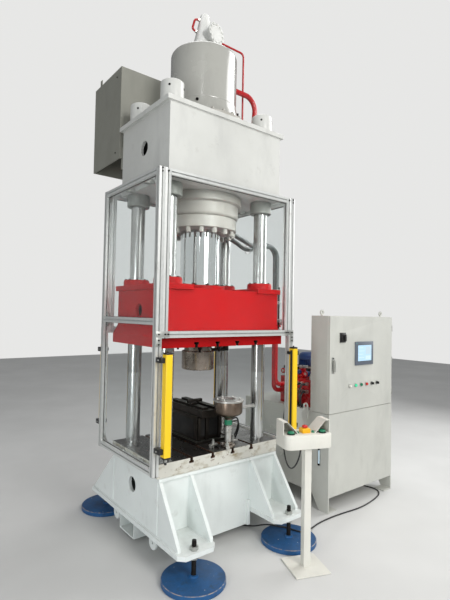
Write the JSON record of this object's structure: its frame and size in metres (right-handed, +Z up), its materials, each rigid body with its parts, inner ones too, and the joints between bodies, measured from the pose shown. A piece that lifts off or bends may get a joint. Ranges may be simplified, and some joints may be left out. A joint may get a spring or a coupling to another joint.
{
  "type": "hydraulic press",
  "caption": "Column-frame hydraulic press with slotted bolster, moving slide, clear guard, light curtains, top tank, separate power unit with control cabinet, and two-hand console.",
  "frame": {"origin": "on the floor, under the middle of the whole machine's outline in plan, power unit and console included", "axes": "+X along the press's front towards the power unit at its right, +Y from the operator's side to the back, +Z up"},
  "size_m": [2.6424, 2.0362, 4.19],
  "materials": {
    "white_paint": "satin off-white machine paint",
    "grey_paint": "light grey gloss machine paint",
    "red_paint": "gloss signal red paint",
    "pipe_red": "gloss red paint",
    "pad_blue": "chipped blue paint",
    "machined_steel": "machined and oiled",
    "column_steel": "ground",
    "ram_chrome": "hard chromed and ground",
    "anodised": "natural anodised",
    "clear_pane": "clear polycarbonate",
    "curtain_yellow": "yellow paint",
    "tool_steel": "blackened",
    "cabinet_grey": "fine textured powder coat",
    "console_white": "warm white powder coat",
    "palm_green": "moulded",
    "signal_red": "moulded",
    "black_plastic": "moulded",
    "cable_black": "cable jacket",
    "motor_blue": "blue paint"
  },
  "bodies": {
    "installation": {"bed": "white_paint", "foot_frame_left": "white_paint", "foot_frame_right": "white_paint", "levelling_mount_front_left": "pad_blue", "levelling_mount_front_right": "pad_blue", "levelling_mount_rear_left": "pad_blue", "levelling_mount_rear_right": "pad_blue", "bolster": "machined_steel", "column_front_left": "column_steel", "column_front_right": "column_steel", "column_rear_left": "column_steel", "column_rear_right": "column_steel", "crown": "grey_paint", "main_cylinder": "grey_paint", "gland_ring": "grey_paint", "prefill_tank": "grey_paint", "prefill_valve": "grey_paint", "service_box": "grey_paint", "pilot_pipe": "pipe_red", "fill_pipe": "pipe_red", "pressure_line": "pipe_red", "return_line": "pipe_red", "valve_block": "pipe_red", "guard_left": "anodised", "guard_right": "anodised", "guard_front": "anodised", "guard_rear": "anodised", "pane_left_upper": "clear_pane", "pane_left_lower": "clear_pane", "pane_right_upper": "clear_pane", "pane_right_lower": "clear_pane", "pane_front": "clear_pane", "pane_rear": "clear_pane", "light_curtain_front_left": "curtain_yellow", "light_curtain_front_right": "curtain_yellow", "light_curtain_rear_left": "curtain_yellow", "light_curtain_rear_right": "curtain_yellow", "tool_table": "tool_steel", "tool_post": "tool_steel", "console_stand": "console_white", "console_box": "console_white", "oil_tank": "cabinet_grey", "electric_cabinet": "cabinet_grey", "floor_cable": "cable_black", "console_cable": "cable_black", "pump_motor": "motor_blue"},
    "slide_assembly": {"slide": "red_paint", "ram": "ram_chrome", "upper_tool": "tool_steel"},
    "door": {"cabinet_door": "cabinet_grey"},
    "door_handle": {"door_handle": "black_plastic"},
    "main_switch": {"main_switch": "black_plastic"},
    "run_button": {"run_button": "palm_green"},
    "start_button": {"start_button": "palm_green"},
    "stop_push_button": {"stop_push_button": "signal_red"},
    "mode_selector": {"mode_selector": "black_plastic"},
    "key_selector": {"key_selector": "black_plastic"},
    "palm_button_left": {"palm_button_left": "palm_green"},
    "palm_button_right": {"palm_button_right": "palm_green"},
    "emergency_stop": {"emergency_stop": "signal_red"}
  },
  "joints": [
    {"name": "slide_stroke", "type": "slide", "parent": "installation", "child": "slide_assembly", "axis": [0, 0, 1], "range_m": [-0.18, 0.3]},
    {"name": "door_swing", "type": "hinge", "parent": "installation", "child": "door", "pos_m": [1.31825, -0.43994, 1.27], "axis": [0, 0, 1], "range_deg": [0, 110]},
    {"name": "door_handle_turn", "type": "hinge", "parent": "door", "child": "door_handle", "pos_m": [0.39825, -0.43994, 1.305], "axis": [0, -1, 0], "range_deg": [0, 90]},
    {"name": "main_switch_turn", "type": "hinge", "parent": "door", "child": "main_switch", "pos_m": [0.52325, -0.43994, 1.508], "axis": [0, -1, 0], "range_deg": [0, 90]},
    {"name": "run_button_press", "type": "slide", "parent": "door", "child": "run_button", "axis": [0, 1, 0], "range_m": [0, 0.0045], "stiffness_N_per_m": 600, "springref_m": -0.003},
    {"name": "start_button_press", "type": "slide", "parent": "door", "child": "start_button", "axis": [0, 1, 0], "range_m": [0, 0.0045], "stiffness_N_per_m": 600, "springref_m": -0.003},
    {"name": "stop_push_button_press", "type": "slide", "parent": "door", "child": "stop_push_button", "axis": [0, 1, 0], "range_m": [0, 0.0045], "stiffness_N_per_m": 600, "springref_m": -0.003},
    {"name": "mode_selector_turn", "type": "hinge", "parent": "door", "child": "mode_selector", "pos_m": [0.97325, -0.43994, 1.07], "axis": [0, -1, 0], "range_deg": [-45, 45]},
    {"name": "key_selector_turn", "type": "hinge", "parent": "door", "child": "key_selector", "pos_m": [1.05725, -0.43994, 1.07], "axis": [0, -1, 0], "range_deg": [0, 90]},
    {"name": "palm_button_left_press", "type": "slide", "parent": "installation", "child": "palm_button_left", "axis": [0, 0, -1], "range_m": [0, 0.0075], "stiffness_N_per_m": 800, "springref_m": -0.004},
    {"name": "palm_button_right_press", "type": "slide", "parent": "installation", "child": "palm_button_right", "axis": [0, 0, -1], "range_m": [0, 0.0075], "stiffness_N_per_m": 800, "springref_m": -0.004},
    {"name": "emergency_stop_press", "type": "slide", "parent": "installation", "child": "emergency_stop", "axis": [0, 0, -1], "range_m": [0, 0.0045]}
  ]
}
